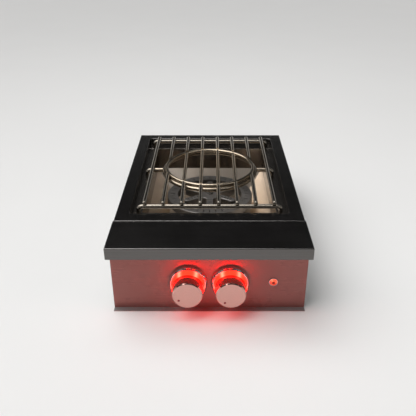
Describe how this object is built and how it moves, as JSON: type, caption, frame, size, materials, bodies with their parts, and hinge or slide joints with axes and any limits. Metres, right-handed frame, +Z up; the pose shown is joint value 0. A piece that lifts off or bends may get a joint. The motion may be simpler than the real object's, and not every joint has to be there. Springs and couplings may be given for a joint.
{
  "type": "power burner",
  "caption": "Built-in gas power burner with a hooded control panel, lit knobs, a star burner inside a ring burner and a rod grate with a lift-out centre.",
  "frame": {"origin": "middle of the footprint box, on the base", "axes": "+Z up, +X to the right as the cook sees it, the controls face -Y"},
  "size_m": [0.432, 0.674, 0.1934],
  "materials": {
    "brushed_sheet": "brushed along the width",
    "chassis_sheet": "mill finish",
    "well_sheet": "satin",
    "polished_rod": "polished",
    "burner_casting": "cast, satin",
    "fastener_steel": "plain",
    "venturi_tube": "drawn",
    "pipe_steel": "zinc plated",
    "valve_alloy": "die cast",
    "brass": "turned",
    "bezel_chrome": "mirror",
    "knob_satin": "satin turned",
    "pointer_enamel": "black enamel",
    "light_lens": "lit red lens",
    "light_board": "white circuit board",
    "ceramic": "glazed ceramic",
    "black_box": "moulded black"
  },
  "bodies": {
    "chassis": {"bottom_panel": "chassis_sheet", "burner_bolt": "fastener_steel", "burner_pan": "well_sheet", "burner_support": "chassis_sheet", "control_panel": "brushed_sheet", "electrode": "ceramic", "electrode_bracket": "chassis_sheet", "front_bulkhead": "chassis_sheet", "front_hood": "brushed_sheet", "gas_inlet": "brass", "gas_pipe": "pipe_steel", "inlet_nut": "brass", "left_air_shutter": "venturi_tube", "left_bezel": "bezel_chrome", "left_bonnet": "valve_alloy", "left_light_board": "light_board", "left_light_ring": "light_lens", "left_orifice": "brass", "left_side_panel": "chassis_sheet", "left_valve_body": "valve_alloy", "left_venturi": "venturi_tube", "light_driver": "black_box", "manifold": "pipe_steel", "manifold_brackets": "chassis_sheet", "manifold_elbow": "pipe_steel", "rear_panel": "chassis_sheet", "right_air_shutter": "venturi_tube", "right_bezel": "bezel_chrome", "right_bonnet": "valve_alloy", "right_light_board": "light_board", "right_light_ring": "light_lens", "right_orifice": "brass", "right_side_panel": "chassis_sheet", "right_valve_body": "valve_alloy", "right_venturi": "venturi_tube", "ring_burner": "burner_casting", "ring_cover": "burner_casting", "spark_lead": "black_box", "spark_module": "black_box", "star_burner": "burner_casting", "star_cover": "burner_casting", "switch_housing": "bezel_chrome", "switch_light": "light_lens", "switch_nut": "fastener_steel", "top_frame": "brushed_sheet", "well_liner": "well_sheet"},
    "left_plug_body": {"left_valve_plug": "brass"},
    "left_knob_body": {"left_knob": "knob_satin", "left_stem": "fastener_steel", "left_pointer": "pointer_enamel"},
    "right_plug_body": {"right_valve_plug": "brass"},
    "right_knob_body": {"right_knob": "knob_satin", "right_stem": "fastener_steel", "right_pointer": "pointer_enamel"},
    "switch_button_body": {"switch_button": "bezel_chrome"},
    "grate_body": {"grate_rods": "polished_rod", "grate_rails": "polished_rod", "grate_ring": "polished_rod"},
    "center_body": {"center_ring": "polished_rod", "center_rods": "polished_rod"}
  },
  "joints": [
    {"name": "left_knob_turn", "type": "hinge", "parent": "chassis", "child": "left_plug_body", "pos_m": [-0.046, -0.285, 0.072], "axis": [0, -1, 0], "range_deg": [-123, 102]},
    {"name": "left_knob_push", "type": "slide", "parent": "left_plug_body", "child": "left_knob_body", "axis": [0, 1, 0], "range_m": [0, 0.004], "stiffness_N_per_m": 800, "springref_m": -0.003},
    {"name": "right_knob_turn", "type": "hinge", "parent": "chassis", "child": "right_plug_body", "pos_m": [0.046, -0.285, 0.072], "axis": [0, -1, 0], "range_deg": [-145, 80]},
    {"name": "right_knob_push", "type": "slide", "parent": "right_plug_body", "child": "right_knob_body", "axis": [0, 1, 0], "range_m": [0, 0.004], "stiffness_N_per_m": 800, "springref_m": -0.003},
    {"name": "switch_push", "type": "slide", "parent": "chassis", "child": "switch_button_body", "axis": [0, 1, 0], "range_m": [0, 0.0016], "stiffness_N_per_m": 500, "springref_m": -0.002},
    {"name": "grate_lift", "type": "slide", "parent": "chassis", "child": "grate_body", "axis": [0, 0, 1], "range_m": [0, 0.2]},
    {"name": "center_lift", "type": "slide", "parent": "grate_body", "child": "center_body", "axis": [0, 0, 1], "range_m": [0, 0.15]}
  ]
}
